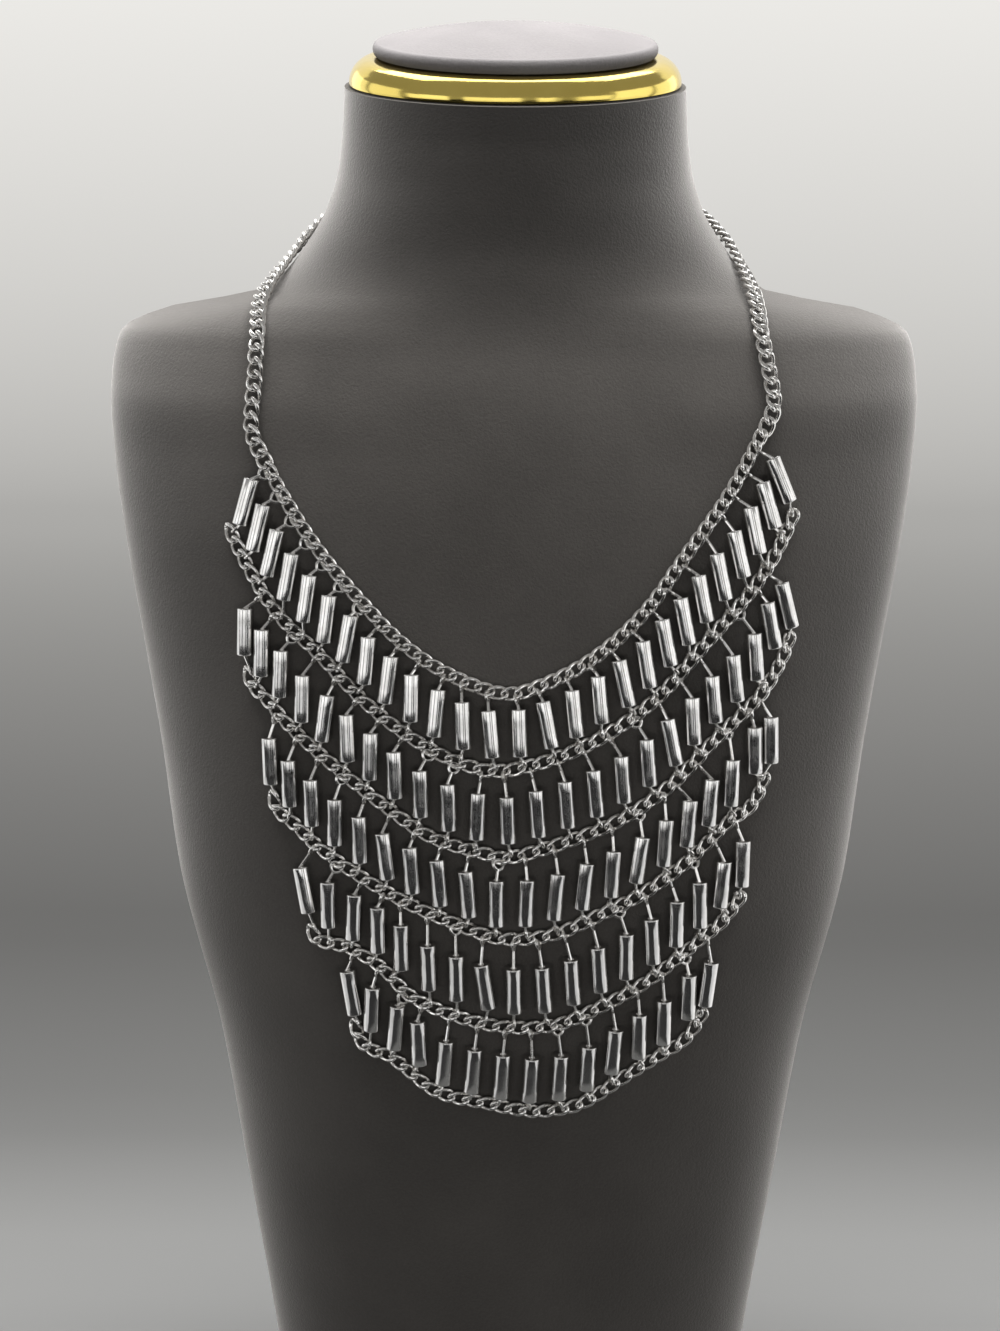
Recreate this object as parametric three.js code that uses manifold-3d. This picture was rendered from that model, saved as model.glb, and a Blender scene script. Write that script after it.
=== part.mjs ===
// Bib necklace on a neck bust, in millimetres with +Z up.
// The bust stands on the middle of its flat base, at the origin, and faces -Y.

import * as THREE from 'three';
import * as BufferGeometryUtils from 'three/addons/utils/BufferGeometryUtils.js';
import Module from 'manifold-3d';

const wasm = await Module();
wasm.setup();

// Bust
const shoulderHeight = 291;
const shoulderHalfWidth = 108.3;
const chestDepth = 64;
const backDepth = 49;
const neckRise = 82.3;
const neckHalfWidth = 45;
const neckFront = 42;
const neckBack = 41;
const headTilt = 7.3;
const seatTilt = 1.6;
const collarHeight = 7.2;
const collarRound = 6.4;
const collarInset = 1.2;
const padInset = 6.3;
const padHeight = 3.7;
const padEdge = 1.3;
const padCrown = 4.2;

// Necklace
const bibDrop = 68.5;
const bibHalfWidth = 72.6;
const chainWidth = 3.6;
const chainThickness = 1.9;
const neckChainWidth = 4.4;
const neckChainThickness = 2.1;
const neckChainStart = 0.6;
const ridgeRise = 0.325;
const napeRise = 0.674;
const napeRoom = 0.7;
const beadLength = 12.2;
const beadDiameter = 4.3;
const pinDiameter = 0.8;
const claspLength = 12;
const claspDiameter = 4.6;
const linksPerBead = 2;
const leastSlide = 0.15;
const slideStep = 0.01;
const pinStep = 0.1;

// Room between pieces that touch, and under what lies on the bust
const gap = 0.35;
const beadSpare = 0.1;

// Meshing
const bustSides = 40;
const capSides = 32;
const capArcSteps = 3;
const crownShares = [0.8, 0.55, 0.28];
const claspSides = 14;
const tubeSides = 8;
const stepsPerWidth = 0.45;
const beadSides = 10;
const pinSides = 5;
const normalStep = 0.5;
const weldDistance = 1e-4;

// Sections of the chest, from the base to the widest part of the shoulders.
// Heights are shares of shoulderHeight, and the rest of shoulderHalfWidth, chestDepth and backDepth.
const chestSections = [
  { height: 0.0, width: 0.577, front: 0.72, back: 0.82, squareness: 2.5 },
  { height: 0.093, width: 0.609, front: 0.766, back: 0.857, squareness: 2.5 },
  { height: 0.289, width: 0.692, front: 0.89, back: 0.94, squareness: 2.5 },
  { height: 0.409, width: 0.744, front: 0.953, back: 0.98, squareness: 2.5 },
  { height: 0.567, width: 0.845, front: 1.0, back: 1.0, squareness: 2.45 },
  { height: 0.684, width: 0.886, front: 0.992, back: 0.98, squareness: 2.35 },
  { height: 0.763, width: 0.919, front: 0.969, back: 0.96, squareness: 2.3 },
  { height: 0.876, width: 0.968, front: 0.922, back: 0.918, squareness: 2.2 },
  { height: 0.952, width: 0.993, front: 0.876, back: 0.85, squareness: 2.03 },
  { height: 1.0, width: 1.0, front: 0.833, back: 0.786, squareness: 1.91 },
];

// Sections of the shoulder ridge. Heights are shares of neckRise above the shoulders.
const ridgeSections = [
  { height: 0.109, width: 0.994, front: 0.797, back: 0.749, squareness: 1.68 },
  { height: 0.219, width: 0.972, front: 0.753, back: 0.72, squareness: 1.49 },
  { height: 0.292, width: 0.859, front: 0.728, back: 0.712, squareness: 1.44 },
];

// Sections of the neck. Heights are shares of neckRise above the shoulders, and the rest of
// neckHalfWidth, neckFront and neckBack.
const neckSections = [
  { height: 0.352, width: 1.491, front: 1.086, back: 0.866, squareness: 2 },
  { height: 0.413, width: 1.353, front: 1.067, back: 0.89, squareness: 1.9 },
  { height: 0.498, width: 1.231, front: 1.04, back: 0.929, squareness: 2 },
  { height: 0.608, width: 1.111, front: 1.024, back: 0.976, squareness: 2.05 },
  { height: 0.729, width: 1.042, front: 1.012, back: 1, squareness: 2 },
  { height: 0.863, width: 1.013, front: 1, back: 1, squareness: 2 },
  { height: 1.0, width: 1, front: 1, back: 1, squareness: 2 },
];

// The six chains of the bib, from the top one down, and the beads that hang from each.
// route: places across the bust and above the chain's lowest point, chosen by hand, as shares of
// bibHalfWidth.
// slack: how far the chain hangs below the one above it past a bead's length, as a share of that
// length.
// slide: share of the free length between two hooks that is above the bead.
// leans: how far each bead leans from the upright, seen from the front, in degrees.
const strands = [
  {
    name: 'bead_row_1',
    slack: 0,
    route: [[-0.858, 0.766], [-0.82, 0.691], [-0.73, 0.551], [-0.634, 0.427], [-0.523, 0.303],
      [-0.399, 0.179], [-0.248, 0.076], [-0.041, 0], [0.11, 0.034], [0.289, 0.131], [0.455, 0.282],
      [0.592, 0.468], [0.744, 0.675], [0.862, 0.883]],
    slide: 0.56,
    leans: [15, 13, 13, 10, 8, 7, 10, 5, 7, 1, 5, -2, -5, -2, -11, -6, -5, -12, -9, -11, -11, -11, -12,
      -13, -12, -16, -22],
  },
  {
    name: 'bead_row_2',
    slack: 0.598,
    route: [[-1, 0.815], [-0.909, 0.647], [-0.813, 0.51], [-0.675, 0.386], [-0.523, 0.234],
      [-0.358, 0.11], [-0.179, 0.021], [-0.014, 0], [0.248, 0.083], [0.482, 0.234], [0.675, 0.441],
      [0.813, 0.592], [0.909, 0.73], [0.979, 0.871]],
    slide: 0.62,
    leans: [1, 1, 2, 1, 7, -2, 1, -2, -2, -2, 2, -2, -4, -4, -5, -4, -4, -11, -3, -5, -6, -4, -10, -14],
  },
  {
    name: 'bead_row_3',
    slack: 0.844,
    route: [[-0.935, 0.627], [-0.912, 0.57], [-0.861, 0.523], [-0.771, 0.427], [-0.62, 0.303],
      [-0.455, 0.179], [-0.289, 0.069], [-0.11, 0.014], [0, 0], [0.248, 0.076], [0.413, 0.152],
      [0.565, 0.262], [0.702, 0.399], [0.84, 0.523], [0.895, 0.592], [0.941, 0.675], [0.97, 0.753]],
    slide: 0.62,
    leans: [-2, -2, -2, 0, -2, -7, -4, -5, -5, 0, 2, 5, 6, 3, 8, 3, 4, 4, 2, -1, -1],
  },
  {
    name: 'bead_row_4',
    slack: 0.762,
    route: [[-0.846, 0.488], [-0.826, 0.427], [-0.771, 0.386], [-0.675, 0.303], [-0.537, 0.213],
      [-0.372, 0.124], [-0.207, 0.055], [-0.041, 0], [0.138, 0.014], [0.303, 0.083], [0.468, 0.165],
      [0.606, 0.262], [0.758, 0.399], [0.82, 0.434], [0.861, 0.489], [0.886, 0.552]],
    slide: 0.6,
    leans: [-10, -1, 2, -1, -1, -2, -1, -9, -1, -4, -4, -4, 0, -3, 1, -1, 5, 1],
  },
  {
    name: 'bead_row_5',
    slack: 0.967,
    route: [[-0.712, 0.343], [-0.685, 0.298], [-0.62, 0.287], [-0.565, 0.275], [-0.455, 0.207],
      [-0.358, 0.11], [-0.207, 0.041], [-0.028, 0], [0.152, 0.007], [0.317, 0.076], [0.468, 0.158],
      [0.606, 0.262], [0.675, 0.317], [0.737, 0.365], [0.809, 0.455]],
    slide: 0.68,
    leans: [-9, 2, 4, -3, 4, 4, 3, 3, 3, 3, 5, 1, 1, 1, 7],
  },
  {
    name: 'bottom_chain',
    slack: 0.926,
    route: [[-0.559, 0.324], [-0.537, 0.252], [-0.496, 0.22], [-0.441, 0.204], [-0.386, 0.165],
      [-0.262, 0.069], [-0.083, 0.028], [0.014, 0.007], [0.11, 0], [0.248, 0.028], [0.399, 0.124],
      [0.537, 0.207], [0.599, 0.241], [0.645, 0.292], [0.679, 0.353]],
    slide: 0,
    leans: [],
  },
];

// The chain round the neck, chosen by hand. Each place has three numbers: its turn round the bust, as
// a share of the way from the bib's end to the clasp; its height, which is 0 at the bib's end, 1 at
// the ridge of the shoulder and 2 at the clasp; and the room under the chain as a share of napeRoom.
const neckRoutes = {
  left: [[0.016, 0.204, 1.1], [0.014, 0.499, 1.18], [0.022, 0.8, 1.15], [0.153, 1, 1.76],
    [0.386, 1.389, 0.86], [0.524, 1.646, 1.8], [0.654, 1.805, 1.17], [0.794, 1.891, 1.02],
    [0.912, 1.952, 0.93]],
  right: [[0.009, 0.16, 1.05], [0.009, 0.327, 1.06], [0.006, 0.733, 1.17], [0.119, 1, 1.78],
    [0.3, 1.308, 1.29], [0.411, 1.513, 0.86], [0.533, 1.715, 1.46], [0.657, 1.838, 1.01],
    [0.797, 1.908, 1.17], [0.916, 1.963, 0.92]],
};
const velvet = new THREE.MeshStandardMaterial({ color: 0x4f4c48, roughness: 0.95, metalness: 0 });
const paleVelvet = new THREE.MeshStandardMaterial({ color: 0xcfc8c0, roughness: 0.95, metalness: 0 });
const gold = new THREE.MeshStandardMaterial({ color: 0xc9a54a, roughness: 0.15, metalness: 1 });
const silver = new THREE.MeshStandardMaterial({ color: 0xd8d6d2, roughness: 0.12, metalness: 1 });

const model = new THREE.Group();
const deg = Math.PI / 180;

function addPiece(name, geometry, material) {
  const piece = new THREE.Mesh(geometry, material.clone());
  piece.name = name;
  model.add(piece);
  return piece;
}

// A smooth line through the points that never swings past them
function smoothLine(xs, ys) {
  const slopes = xs.map((x, i) => (i < xs.length - 1 ? (ys[i + 1] - ys[i]) / (xs[i + 1] - x) : 0));
  const tangents = xs.map((x, i) => {
    if (i === 0) return slopes[0];
    if (i === xs.length - 1) return slopes[i - 1];
    const before = slopes[i - 1];
    const after = slopes[i];
    if (before * after <= 0) return 0;
    const w1 = 2 * (xs[i + 1] - x) + (x - xs[i - 1]);
    const w2 = (xs[i + 1] - x) + 2 * (x - xs[i - 1]);
    return (w1 + w2) / (w1 / before + w2 / after);
  });
  return (x) => {
    const at = THREE.MathUtils.clamp(x, xs[0], xs[xs.length - 1]);
    let i = 0;
    while (i < xs.length - 2 && at > xs[i + 1]) i += 1;
    const span = xs[i + 1] - xs[i];
    const t = (at - xs[i]) / span;
    const t2 = t * t;
    const t3 = t2 * t;
    return (2 * t3 - 3 * t2 + 1) * ys[i] + (t3 - 2 * t2 + t) * span * tangents[i]
      + (3 * t2 - 2 * t3) * ys[i + 1] + (t3 - t2) * span * tangents[i + 1];
  };
}

const neckTop = shoulderHeight + neckRise;

const bustSections = [
  ...chestSections.map((row) => ({
    height: row.height * shoulderHeight,
    width: row.width * shoulderHalfWidth,
    front: row.front * chestDepth,
    back: row.back * backDepth,
    squareness: row.squareness,
  })),
  ...ridgeSections.map((row) => ({
    height: shoulderHeight + row.height * neckRise,
    width: row.width * shoulderHalfWidth,
    front: row.front * chestDepth,
    back: row.back * backDepth,
    squareness: row.squareness,
  })),
  ...neckSections.map((row) => ({
    height: shoulderHeight + row.height * neckRise,
    width: row.width * neckHalfWidth,
    front: row.front * neckFront,
    back: row.back * neckBack,
    squareness: row.squareness,
  })),
];

const sectionHeights = bustSections.map((row) => row.height);
const columnLine = (column) => smoothLine(sectionHeights, bustSections.map((row) => row[column]));
const widthAt = columnLine('width');
const frontAt = columnLine('front');
const backAt = columnLine('back');
const squarenessAt = columnLine('squareness');

// The front and the back stay round where the sides come to an edge
const sideSquareness = (height) => Math.max(squarenessAt(height), 2);

// A point of the bust's skin. turn is 0 at the front, 90 at its +X side and 180 at the back.
function skinPoint(turn, height) {
  const side = Math.sin(turn * deg);
  const forward = Math.cos(turn * deg);
  const depth = forward >= 0 ? -frontAt(height) : backAt(height);
  return new THREE.Vector3(
    Math.sign(side) * widthAt(height) * Math.abs(side) ** (2 / sideSquareness(height)),
    depth * Math.abs(forward) ** (2 / squarenessAt(height)),
    height,
  );
}

// The turn of a point at x on the front of the bust
function frontTurn(x, height) {
  const share = Math.min(Math.abs(x) / widthAt(height), 1);
  return (Math.sign(x) * Math.asin(share ** (sideSquareness(height) / 2))) / deg;
}

function skinNormal(turn, height) {
  const across = skinPoint(turn + normalStep, height).sub(skinPoint(turn - normalStep, height));
  const upward = skinPoint(turn, height + normalStep).sub(skinPoint(turn, height - normalStep));
  return across.cross(upward).normalize();
}

function liftedPoint(turn, height, lift) {
  return skinPoint(turn, height).addScaledVector(skinNormal(turn, height), lift);
}

const frontPoint = (x, height, lift) => liftedPoint(frontTurn(x, height), height, lift);

// A curve that lies on the bust along a route of turn or place, height and lift above the skin.
// It carries its section flat on the skin.
class LaidCurve extends THREE.Curve {
  constructor(route, toTurn) {
    super();
    const places = route.map((place) => new THREE.Vector3(...place));
    this.route = new THREE.CatmullRomCurve3(places, false, 'catmullrom');
    this.toTurn = toTurn;
  }

  getPoint(t) {
    const place = this.route.getPoint(t);
    return liftedPoint(this.toTurn(place), place.y, place.z);
  }

  computeFrenetFrames(segments) {
    const tangents = [];
    const normals = [];
    const binormals = [];
    for (let i = 0; i <= segments; i += 1) {
      const place = this.route.getPoint(this.getUtoTmapping(i / segments));
      const tangent = this.getTangentAt(i / segments);
      const outward = skinNormal(this.toTurn(place), place.y);
      const across = tangent.clone().cross(outward).normalize();
      tangents.push(tangent);
      normals.push(across.clone().cross(tangent).normalize());
      binormals.push(across);
    }
    return { tangents, normals, binormals };
  }
}

// A curve that lies on the bust at the places of its route, which are turns, and runs smoothly from
// one to the next, across any hollow
class SpanningCurve extends LaidCurve {
  constructor(route) {
    super(route, (place) => place.x);
    const points = route.map(([turn, height, lift]) => liftedPoint(turn, height, lift));
    this.line = new THREE.CatmullRomCurve3(points, false, 'catmullrom');
  }

  getPoint(t) {
    return this.line.getPoint(t);
  }
}

function tubeSteps(curve, width) {
  return Math.round((curve.getLength() / width) * stepsPerWidth);
}

// A flat tube along a laid curve: x of the section points away from the bust, y along its skin
function laidTube(curve, width, thickness) {
  const section = new THREE.Shape();
  for (let i = 0; i < tubeSides; i += 1) {
    const angle = ((i + 0.5) * 2 * Math.PI) / tubeSides;
    const reach = 1 / Math.cos(Math.PI / tubeSides);
    const x = Math.cos(angle) * reach * (thickness / 2);
    const y = Math.sin(angle) * reach * (width / 2);
    if (i === 0) section.moveTo(x, y);
    else section.lineTo(x, y);
  }
  section.closePath();
  return new THREE.ExtrudeGeometry(section, { steps: tubeSteps(curve, width), extrudePath: curve });
}

function toSolid(geometry) {
  const bare = geometry.clone();
  bare.deleteAttribute('normal');
  bare.deleteAttribute('uv');
  const merged = BufferGeometryUtils.mergeVertices(bare, weldDistance);
  const vertProperties = Float32Array.from(merged.attributes.position.array);
  const triVerts = Uint32Array.from(merged.index.array);
  return new wasm.Manifold(new wasm.Mesh({ numProp: 3, vertProperties, triVerts }));
}

function toGeometry(solid) {
  const mesh = solid.getMesh();
  const geometry = new THREE.BufferGeometry();
  geometry.setAttribute('position', new THREE.BufferAttribute(Float32Array.from(mesh.vertProperties), 3));
  geometry.setIndex(new THREE.BufferAttribute(Uint32Array.from(mesh.triVerts), 1));
  return geometry;
}

// A ring of points about a centre, in the plane across the axis
function ring(centre, axis, diameter, sides) {
  const outward = skinNormal(frontTurn(centre.x, centre.z), centre.z);
  const across = axis.clone().cross(outward).normalize();
  const away = across.clone().cross(axis).normalize();
  return Array.from({ length: sides }, (_, i) => {
    const angle = (i * 2 * Math.PI) / sides;
    return centre.clone()
      .addScaledVector(across, (Math.cos(angle) * diameter) / 2)
      .addScaledVector(away, (Math.sin(angle) * diameter) / 2);
  });
}

// A closed skin through rings in order. A ring may have twice as many points as its neighbour.
function skinRings(rings) {
  const points = [];
  const starts = rings.map((one) => {
    const start = points.length / 3;
    one.forEach((point) => points.push(point.x, point.y, point.z));
    return start;
  });
  const faces = [];
  for (let level = 0; level < rings.length - 1; level += 1) {
    const here = rings[level].length;
    const next = rings[level + 1].length;
    const count = Math.min(here, next);
    const a = (i) => starts[level] + (i % here);
    const b = (i) => starts[level + 1] + (i % next);
    for (let i = 0; i < count; i += 1) {
      if (here === next) {
        faces.push(a(i), b(i), b(i + 1), a(i), b(i + 1), a(i + 1));
      } else if (here < next) {
        faces.push(a(i), b(2 * i), b(2 * i + 1), a(i), b(2 * i + 1), a(i + 1));
        faces.push(a(i + 1), b(2 * i + 1), b(2 * i + 2));
      } else {
        faces.push(a(2 * i), b(i), a(2 * i + 1), a(2 * i + 1), b(i), b(i + 1));
        faces.push(a(2 * i + 1), b(i + 1), a(2 * i + 2));
      }
    }
  }
  const last = starts[rings.length - 1];
  for (let i = 1; i < rings[0].length - 1; i += 1) faces.push(0, i, i + 1);
  for (let i = 1; i < rings[rings.length - 1].length - 1; i += 1) faces.push(last, last + i + 1, last + i);
  const geometry = new THREE.BufferGeometry();
  geometry.setAttribute('position', new THREE.Float32BufferAttribute(points, 3));
  geometry.setIndex(faces);
  return geometry;
}

// Bust

function bustBody() {
  const tiltStart = shoulderHeight + 0.75 * neckRise;
  const levels = [0, 0.08, 0.16, 0.24, 0.32, 0.4, 0.48, 0.56, 0.64, 0.7, 0.745, 0.772, 0.797, 0.818, 0.835,
    0.848, 0.858, 0.869, 0.885, 0.91, 0.945, 1];
  const points = [];
  const faces = [];
  levels.forEach((share) => {
    const height = share * neckTop;
    const tilt = THREE.MathUtils.smoothstep(height, tiltStart, neckTop) * Math.tan(headTilt * deg);
    for (let i = 0; i < bustSides; i += 1) {
      const point = skinPoint((i * 360) / bustSides, height);
      points.push(point.x, point.y, height + point.y * tilt);
    }
  });
  for (let level = 0; level < levels.length - 1; level += 1) {
    for (let i = 0; i < bustSides; i += 1) {
      const here = level * bustSides + i;
      const next = level * bustSides + ((i + 1) % bustSides);
      faces.push(here, next, next + bustSides, here, next + bustSides, here + bustSides);
    }
  }
  const last = (levels.length - 1) * bustSides;
  for (let i = 1; i < bustSides - 1; i += 1) {
    faces.push(0, i + 1, i);
    faces.push(last, last + i, last + i + 1);
  }
  const geometry = new THREE.BufferGeometry();
  geometry.setAttribute('position', new THREE.Float32BufferAttribute(points, 3));
  geometry.setIndex(faces);
  return geometry;
}

// A turned cap with a rounded upper edge, pressed into the oval of the neck. Its top is tilted to its
// foot by the angle lean.
function ovalCap(halfWidth, height, round, crown, lean) {
  const profile = [new THREE.Vector2(0, 0), new THREE.Vector2(halfWidth, 0)];
  for (let i = 0; i <= capArcSteps; i += 1) {
    const angle = (i / capArcSteps) * (Math.PI / 2);
    profile.push(new THREE.Vector2(
      halfWidth - round + round * Math.cos(angle),
      height - round + round * Math.sin(angle),
    ));
  }
  const flat = halfWidth - round;
  crownShares.filter(() => crown > 0).forEach((share) => {
    profile.push(new THREE.Vector2(flat * share, height + crown * (1 - share ** 2)));
  });
  profile.push(new THREE.Vector2(0, height + crown));
  const shape = new THREE.LatheGeometry(profile, capSides);
  shape.rotateX(Math.PI / 2);
  shape.scale(1, (neckFront + neckBack) / 2 / neckHalfWidth, 1);
  const places = shape.attributes.position;
  for (let i = 0; i < places.count; i += 1) {
    places.setZ(i, places.getZ(i) * (1 + (places.getY(i) * Math.tan(lean * deg)) / height));
  }
  return shape;
}

addPiece('bust_body', bustBody(), velvet);

const head = new THREE.Group();
head.position.set(0, (neckBack - neckFront) / 2, neckTop + gap);
head.rotation.x = headTilt * deg;
model.add(head);

const collarHalfWidth = neckHalfWidth - collarInset;
head.add(addPiece('gold_collar', ovalCap(collarHalfWidth, collarHeight, collarRound, 0, seatTilt), gold));
const padHalfWidth = collarHalfWidth - padInset;
const pad = addPiece('top_pad', ovalCap(padHalfWidth, padHeight, padEdge, padCrown, 0), paleVelvet);
pad.position.z = collarHeight + gap;
pad.rotation.x = seatTilt * deg;
head.add(pad);

// Bib

const chainLift = gap + chainThickness / 2;
const beadLift = gap + beadDiameter / 2 + beadSpare;
const beadRoom = chainWidth / 2 + 2 * gap;
const pinRoom = (chainWidth + pinDiameter) / 2 + 2 * gap;

let level = shoulderHeight - bibDrop;
const chains = strands.map((strand, row) => {
  if (row > 0) level -= beadLength * (1 + strand.slack);
  const bottom = level;
  const route = strand.route.map(([across, rise]) => (
    [across * bibHalfWidth, bottom + rise * bibHalfWidth, chainLift]));
  return new LaidCurve(route, (place) => frontTurn(place.x, place.y));
});

// Close points along the middle of each chain's tube, which is straight between its steps
const chainPoints = chains.map((chain) => {
  const corners = chain.getSpacedPoints(tubeSteps(chain, chainWidth));
  const between = [0, 0.125, 0.25, 0.375, 0.5, 0.625, 0.75, 0.875];
  return corners.slice(1).flatMap((corner, i) => (
    between.map((share) => corners[i].clone().lerp(corner, share))));
});

const beadCounts = strands.map((strand) => strand.leans.length);

// Where the middle of a link is, as a share of its chain from the left end. A chain below a row has
// a link for each of the row's beads and one between each two.
function linkShare(row, link) {
  const beadsAbove = row === 0 ? beadCounts[0] : beadCounts[row - 1];
  return (link + 0.5) / (linksPerBead * (beadsAbove - 1) + 1);
}

// How far the nearest of the points is from a bead's outside
function clearance(top, bottom, points) {
  const up = top.clone().sub(bottom).normalize();
  const distances = points.map((point) => {
    const offset = point.clone().sub(bottom);
    const along = offset.dot(up);
    const aside = offset.addScaledVector(up, -along).length() - beadDiameter / 2;
    return Math.hypot(Math.max(aside, 0), Math.min(along, 0));
  });
  return Math.min(...distances);
}

// Where a bead hangs. It slides up its pin until it is clear of the chain below.
function beadEnds(row, index) {
  const beadsAbove = row === 0 ? beadCounts[0] : beadCounts[row - 1];
  const firstLink = beadsAbove - beadCounts[row];
  const upperHook = chains[row].getPointAt(linkShare(row, linksPerBead * index + firstLink));
  const lowerHook = chains[row + 1].getPointAt(linkShare(row + 1, linksPerBead * index));
  const span = upperHook.distanceTo(lowerHook);
  const lean = strands[row].leans[index] * deg;
  const halfX = Math.sin(lean) * (beadLength / 2);
  const halfZ = Math.cos(lean) * (beadLength / 2);
  const place = (slide) => {
    const centreShare = ((span - beadLength) * slide + beadLength / 2) / span;
    const centre = upperHook.clone().lerp(lowerHook, centreShare);
    const high = frontPoint(centre.x + halfX, centre.z + halfZ, beadLift);
    const low = frontPoint(centre.x - halfX, centre.z - halfZ, beadLift);
    const middle = high.clone().add(low).multiplyScalar(0.5);
    const half = high.clone().sub(low).setLength(beadLength / 2);
    return { top: middle.clone().add(half), bottom: middle.clone().sub(half) };
  };
  let slide = strands[row].slide;
  let ends = place(slide);
  while (slide > leastSlide && clearance(ends.top, ends.bottom, chainPoints[row + 1]) < beadRoom) {
    slide -= slideStep;
    ends = place(slide);
  }
  return { upperHook, lowerHook, ...ends };
}

// A bead with its pins. The lower pin stops short of the next chain.
function beadOnPin(row, index) {
  const { upperHook, lowerHook, top, bottom } = beadEnds(row, index);
  const axis = bottom.clone().sub(top).normalize();
  const toHook = lowerHook.clone().sub(bottom);
  let free = toHook.length();
  const tip = lowerHook.clone();
  toHook.normalize();
  while (free > gap && Math.min(...chainPoints[row + 1].map((point) => point.distanceTo(tip))) < pinRoom) {
    free -= pinStep;
    tip.copy(bottom).addScaledVector(toHook, free);
  }
  return skinRings([
    ring(upperHook, axis, pinDiameter, pinSides),
    ring(top, axis, pinDiameter, pinSides),
    ring(top, axis, beadDiameter, beadSides),
    ring(bottom, axis, beadDiameter, beadSides),
    ring(bottom, axis, pinDiameter, pinSides),
    ring(tip, axis, pinDiameter, pinSides),
  ]);
}

// A strand: its chain, and the beads that hang from it
function strandSolid(row) {
  let solid = toSolid(laidTube(chains[row], chainWidth, chainThickness));
  for (let index = 0; index < beadCounts[row]; index += 1) {
    solid = solid.add(toSolid(beadOnPin(row, index)));
  }
  return toGeometry(solid);
}

strands.forEach((strand, row) => {
  addPiece(strand.name, strandSolid(row), silver);
});

// Neck chain and clasp

const ridgeHeight = shoulderHeight + ridgeRise * neckRise;
const napeHeight = shoulderHeight + napeRise * neckRise;
const claspLift = napeRoom + claspDiameter / 2;
const claspTurn = Math.asin((claspLength / 2 + 2 * gap) / (widthAt(napeHeight) + claspLift)) / deg;

// The neck chain on one side: direction is -1 on the left and 1 on the right
function neckTube(side, direction) {
  const bib = chains[0];
  const bibEnd = bib.getPointAt(direction < 0 ? 0 : 1);
  const onward = bib.getTangentAt(direction < 0 ? 0 : 1).multiplyScalar(direction);
  const start = bibEnd.clone().addScaledVector(onward, neckChainStart);
  const startTurn = frontTurn(start.x, start.z);
  const endTurn = direction * (180 - claspTurn);
  const route = [
    [startTurn, start.z, gap],
    ...neckRoutes[side].map(([turn, rise, room]) => [
      THREE.MathUtils.lerp(startTurn, endTurn, turn),
      rise < 1
        ? THREE.MathUtils.lerp(start.z, ridgeHeight, rise)
        : THREE.MathUtils.lerp(ridgeHeight, napeHeight, rise - 1),
      room * napeRoom,
    ]),
    [endTurn, napeHeight, napeRoom],
  ];
  const lifted = route.map(([turn, height, room]) => [turn, height, room + neckChainThickness / 2]);
  return laidTube(new SpanningCurve(lifted), neckChainWidth, neckChainThickness);
}

addPiece('neck_chain_left', neckTube('left', -1), silver);
addPiece('neck_chain_right', neckTube('right', 1), silver);

function claspBarrel() {
  const endDiameter = claspDiameter * 0.6;
  const shoulder = claspLength * 0.15;
  const profile = [
    new THREE.Vector2(0, -claspLength / 2),
    new THREE.Vector2(endDiameter / 2, -claspLength / 2),
    new THREE.Vector2(claspDiameter / 2, -claspLength / 2 + shoulder),
    new THREE.Vector2(claspDiameter / 2, claspLength / 2 - shoulder),
    new THREE.Vector2(endDiameter / 2, claspLength / 2),
    new THREE.Vector2(0, claspLength / 2),
  ];
  return new THREE.LatheGeometry(profile, claspSides).rotateZ(Math.PI / 2);
}

addPiece('clasp', claspBarrel(), silver).position.copy(liftedPoint(180, napeHeight, claspLift));

export default model;
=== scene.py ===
import math

import bpy
import numpy as np
from mathutils import Matrix, Vector


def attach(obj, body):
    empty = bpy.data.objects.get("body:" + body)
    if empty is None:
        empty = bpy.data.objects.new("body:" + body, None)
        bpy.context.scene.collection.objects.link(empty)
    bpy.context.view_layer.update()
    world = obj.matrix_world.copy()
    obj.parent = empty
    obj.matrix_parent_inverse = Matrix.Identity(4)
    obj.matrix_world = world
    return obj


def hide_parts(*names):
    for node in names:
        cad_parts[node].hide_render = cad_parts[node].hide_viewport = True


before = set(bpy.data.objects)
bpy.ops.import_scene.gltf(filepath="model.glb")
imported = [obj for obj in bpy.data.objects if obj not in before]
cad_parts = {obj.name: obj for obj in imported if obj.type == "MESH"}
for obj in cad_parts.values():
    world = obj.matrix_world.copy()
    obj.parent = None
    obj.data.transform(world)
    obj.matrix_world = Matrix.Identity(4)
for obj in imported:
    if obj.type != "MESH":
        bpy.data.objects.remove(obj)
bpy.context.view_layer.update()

mm = 0.001
dice = np.random.default_rng(5)


# one output socket of a node; each sign between wires or numbers adds a Math node
class Wire:
    def __init__(self, finish, socket):
        self.finish = finish
        self.socket = socket

    def maths(self, operation, *values):
        return self.finish.node("ShaderNodeMath", {"operation": operation}, dict(enumerate(values)))

    def __add__(self, other):
        return self.maths("ADD", self, other)

    __radd__ = __add__

    def __mul__(self, other):
        return self.maths("MULTIPLY", self, other)

    __rmul__ = __mul__


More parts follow.
